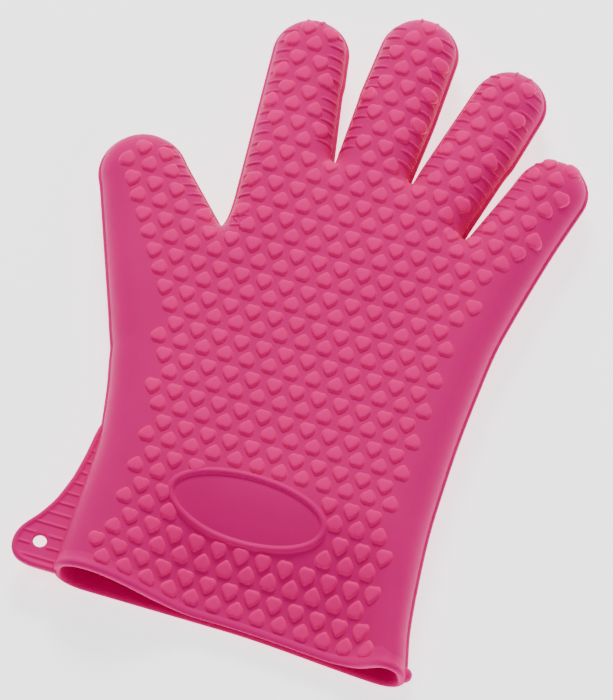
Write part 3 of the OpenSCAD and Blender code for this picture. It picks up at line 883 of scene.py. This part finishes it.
def badge():
    t = np.linspace(0, 2 * math.pi, BADGE_POINTS, endpoint=False)
    a, b = BADGE_HALF[0] - BADGE_RIM, BADGE_HALF[1] - BADGE_RIM
    out = unit(np.stack([np.cos(t) / a, np.sin(t) / b], 1))
    rows = []
    for off, rise in BADGE_SECTION:
        x = BADGE[0] + a * np.cos(t) + out[:, 0] * off
        y = BADGE[1] + b * np.sin(t) + out[:, 1] * off
        rows.append(np.stack([x, y, skin_height(x, y, 1)], 1) + skin_normal(x, y, 1) * rise)
    points = np.stack(rows, 1).reshape(-1, 3)
    n, m = BADGE_POINTS, len(BADGE_SECTION)
    faces = [(i * m + j, (i + 1) % n * m + j, (i + 1) % n * m + j + 1, i * m + j + 1)
             for i in range(n) for j in range(m - 1)]
    faces = facing(points, faces, m // 2, (0, 0, 1))
    obj = make("badge_rim_round", points, faces, RIM_PINK)
    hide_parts("badge_rim")
    attach(obj, "hand")


badge()

# ---------------------------------------------------------------- short ribs on the fingers

RIB_PITCH = 4.6
RIB_HALF_WIDTH, RIB_RISE, RIB_SINK = 1.35 * 0.8, 0.5, 0.18
RIB_LENGTH, TIP_RIB_LENGTH = 7.2, 4.0
RIB_STEPS_ACROSS, RIB_STEPS_ALONG = 9, 12
RIB_IN, RIB_OUT = 0.16, 0.3  # shares of its length over which a rib starts and ends
FIRST_RIB = 1.5  # above the root
SIDE_RIB_EDGE, TIP_RIB_EDGE = 0.45, 0.35  # how far in from the outline a rib starts
TIP_RIB_TURN = 0.24  # radians to either side of straight ahead
LOW_INDEX_RIBS = 9  # more ribs, down the thumb side of the index finger


def rib(centre, along, reach):
    """A low ridge on the front skin, through centre in plan, running along, reach long."""
    m, n = RIB_STEPS_ACROSS, RIB_STEPS_ALONG
    across = np.array([-along[1], along[0]])
    w = np.linspace(-1, 1, m)
    t = np.linspace(0, 1, n)
    section = np.cos(w * math.pi / 2) ** 1.2
    ends = np.minimum(1, np.minimum(t / RIB_IN, (1 - t) / RIB_OUT)) ** 0.6
    plan = centre + along * reach * t[:, None, None] + across * RIB_HALF_WIDTH * w[None, :, None]
    rise = (RIB_RISE + RIB_SINK) * section[None, :] * ends[:, None] - RIB_SINK
    x, y = plan[..., 0].ravel(), plan[..., 1].ravel()
    skin = np.stack([x, y, skin_height(x, y, 1)], 1)
    points = skin + skin_normal(x, y, 1) * rise.reshape(-1, 1)
    return points, facing(points, strip_faces(n, m), m // 2, (0, 0, 1))


def rib_places(f):
    """Start, direction and length of each rib of a finger."""
    sides = {"thumb": [1], "little": [-1]}.get(f.name, [-1, 1])
    places = []
    for side in sides:
        lower = LOW_INDEX_RIBS if (f.name, side) == ("index", -1) else 0
        for s in np.arange(f.root + FIRST_RIB - lower * RIB_PITCH, f.r * 0.5, RIB_PITCH):
            u = side * (float(f.half_width(s)) - SIDE_RIB_EDGE)
            places.append((np.array(f.world(s, u)), f.side * -side, RIB_LENGTH))
    if len(sides) == 2:
        for turn in (-TIP_RIB_TURN, TIP_RIB_TURN):
            way = f.ahead * math.cos(turn) + f.side * math.sin(turn)
            places.append((f.tip + way * (f.r - TIP_RIB_EDGE), -way, TIP_RIB_LENGTH))
    return places


def ribs():
    for name, f in FINGERS.items():
        points, faces = [], []
        for place in rib_places(f):
            p, q = rib(*place)
            faces.extend(tuple(v + len(points) for v in k) for k in q)
            points.extend(p.tolist())
        obj = make(name + "_ribs_round", points, faces, WALL_PINK)
        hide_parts(name + "_ribs")
        attach(obj, name)


ribs()

# ---------------------------------------------------------------- hang tab: web, bead, ribs, hole

# Outline of the tab, from the cuff's thumb side round the hole and back to the rim
TAB_LINE = [(-40, -58), (-54.6, -61), (-57, -72), (-57.8, -83), (-59.4, -94), (-62.5, -104.8),
            (-66.4, -112.5), (-71.4, -119.2), (-73.2, -124), (-72.8, -130), (-69.6, -133.9),
            (-64, -135.2), (-57, -135.2), (-40, -135.2)]
TAB_SOFTNESS = 2.2
TAB_VOXEL = 0.4
TAB_BAND = 2.0
TAB_INNER_X, TAB_LOWEST_Y = -52.7, -136.5  # the tab ends there, inside the cuff's wall
WEB_HALF = 0.8  # half the thickness of the flat web
TAB_BEAD_W, TAB_BEAD_H = 1.25, 1.5  # half width and half height of the bead along its edge
TAB_RIBS, TAB_RIB_START, TAB_RIB_PITCH = 14, -131.2, 5
TAB_RIB_W, TAB_RIB_H, TAB_RIB_IN = 0.62, 1.3, 1.2  # half width, half height, start in from the edge
HOLE_R, HOLE_CLEAR = 2.6, 3.9  # radius of the hang hole, and of the plain ring round it


def soft_max(a, b, k):
    h = np.clip(0.5 + 0.5 * (a - b) / k, 0, 1)
    return b * (1 - h) + a * h + k * h * (1 - h)


def distance_inside(line, px, py):
    """Distance from points to a closed line, positive inside it."""
    d = np.full(len(px), np.inf)
    inner = np.zeros(len(px), bool)
    for a, b in zip(line, np.roll(line, -1, 0)):
        ab = b - a
        t = np.clip(((px - a[0]) * ab[0] + (py - a[1]) * ab[1]) / (ab @ ab), 0, 1)
        d = np.minimum(d, np.hypot(px - a[0] - t * ab[0], py - a[1] - t * ab[1]))
        spans = (a[1] > py) != (b[1] > py)
        inner ^= spans & (px < a[0] + (py - a[1]) * ab[0] / (ab[1] if ab[1] else 1e-9))
    return np.where(inner, d, -d)


def tab():
    hole = next(m for m in frame["record"]["mounts"] if m["name"] == "hang_hole")["pos_m"]
    hole = np.array(hole[:2]) / MM
    line = soften(resample(np.array(TAB_LINE, float), LINE_STEP), TAB_SOFTNESS, LINE_STEP)
    xs, ys = np.arange(-79, -49, TAB_VOXEL), np.arange(-138, -56, TAB_VOXEL)
    zs = np.arange(PART_Z - 3, PART_Z + 3, TAB_VOXEL)
    px, py = [v[..., None] for v in np.meshgrid(xs, ys, indexing="ij")]
    d = distance_inside(line, px.ravel(), py.ravel()).reshape(px.shape)
    z = (zs - PART_Z)[None, None, :]
    far = np.hypot(px - hole[0], py - hole[1])

    web = np.minimum(WEB_HALF - np.abs(z), d - 0.3)
    bead = 1 - np.sqrt(((d - TAB_BEAD_W) / TAB_BEAD_W) ** 2 + (z / TAB_BEAD_H) ** 2)
    body = soft_max(web, bead * TAB_BEAD_W, 0.5)
    for i in range(TAB_RIBS):
        off = (py - (TAB_RIB_START + TAB_RIB_PITCH * i)) / TAB_RIB_W
        ridge = 1 - np.sqrt(off ** 2 + (z / TAB_RIB_H) ** 2)
        ridge = np.minimum(ridge, np.minimum(d - TAB_RIB_IN, far - HOLE_CLEAR))
        body = soft_max(body, ridge * TAB_RIB_W, 0.25)
    outside = soft_max(-body, HOLE_R - far, 0.3)
    points, quads = quads_at_zero(outside, TAB_BAND, TAB_VOXEL, [xs[0], ys[0], zs[0]])
    centre = points[quads].mean(1)
    keep = (centre[:, 0] < TAB_INNER_X) & (centre[:, 1] > TAB_LOWEST_Y)
    points, quads = compact(points, quads[keep])
    obj = make("hang_tab_moulded", points, quads, RIM_PINK)
    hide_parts("hang_tab", "tab_border", "tab_ribs")
    attach(obj, "hand")


tab()

# ---------------------------------------------------------------- floor, light, camera, in metres

WHITE = (1, 1, 1, 1)
FLOOR_SIZE, FLOOR_DROP = 6, 0.0002
FLOOR_GREY, FLOOR_ROUGHNESS, FLOOR_GLOW = 0.9, 0.85, 1.9
WORLD_GLOW = 0.5

floor_mat = bpy.data.materials.new("pale_floor")
floor_mat.use_nodes = True
floor_bsdf = floor_mat.node_tree.nodes["Principled BSDF"]
floor_bsdf.inputs["Base Color"].default_value = (FLOOR_GREY, FLOOR_GREY, FLOOR_GREY, 1)
floor_bsdf.inputs["Roughness"].default_value = FLOOR_ROUGHNESS
floor_bsdf.inputs["Emission Color"].default_value = WHITE
floor_bsdf.inputs["Emission Strength"].default_value = FLOOR_GLOW
bpy.ops.mesh.primitive_plane_add(size=FLOOR_SIZE, location=(0, 0, -FLOOR_DROP))
floor = bpy.context.object
floor.name = "floor"
floor.data.materials.append(floor_mat)

world = bpy.data.worlds.new("studio")
bpy.context.scene.world = world
world.use_nodes = True
world.node_tree.nodes["Background"].inputs["Color"].default_value = WHITE
world.node_tree.nodes["Background"].inputs["Strength"].default_value = WORLD_GLOW


def area_light(name, location, size, power):
    """A round soft light that looks at the glove's centre."""
    light = bpy.data.lights.new(name, "AREA")
    light.shape, light.size, light.energy = "DISK", size, power
    obj = bpy.data.objects.new(name, light)
    bpy.context.scene.collection.objects.link(obj)
    obj.location = location
    obj.rotation_euler = (-Vector(location)).to_track_quat("-Z", "Y").to_euler()


area_light("key", (-0.54, 1.53, 1.26), 0.7, 42)
area_light("fill", (0.7, -0.3, 0.8), 0.8, 1.5)

# The camera looks down at the glove from the cuff side, through a long lens
CAM_AZ, CAM_EL = math.radians(17.94), math.radians(63.08)
VIEW_HEIGHT = 266.6  # mm of the glove's plane from the top of the picture to the bottom
AIM_RIGHT, AIM_UP = 3.15, -14.75  # mm from the glove's centre to the middle of the picture
AWAY = 6.0
SENSOR = 36
back = Vector((math.sin(CAM_AZ) * math.cos(CAM_EL), -math.cos(CAM_AZ) * math.cos(CAM_EL),
               math.sin(CAM_EL)))
right = Vector((math.cos(CAM_AZ), math.sin(CAM_AZ), 0))
cam_data = bpy.data.cameras.new("camera")
camera = bpy.data.objects.new("camera", cam_data)
bpy.context.scene.collection.objects.link(camera)
bpy.context.scene.camera = camera
cam_data.sensor_width = SENSOR
cam_data.lens = SENSOR * AWAY / (VIEW_HEIGHT * MM)
camera.rotation_mode = "QUATERNION"
camera.rotation_quaternion = (-back).to_track_quat("-Z", "Y")
aim = Vector((0, 0, PART_Z * MM)) + right * AIM_RIGHT * MM + back.cross(right) * AIM_UP * MM
camera.location = aim + back * AWAY
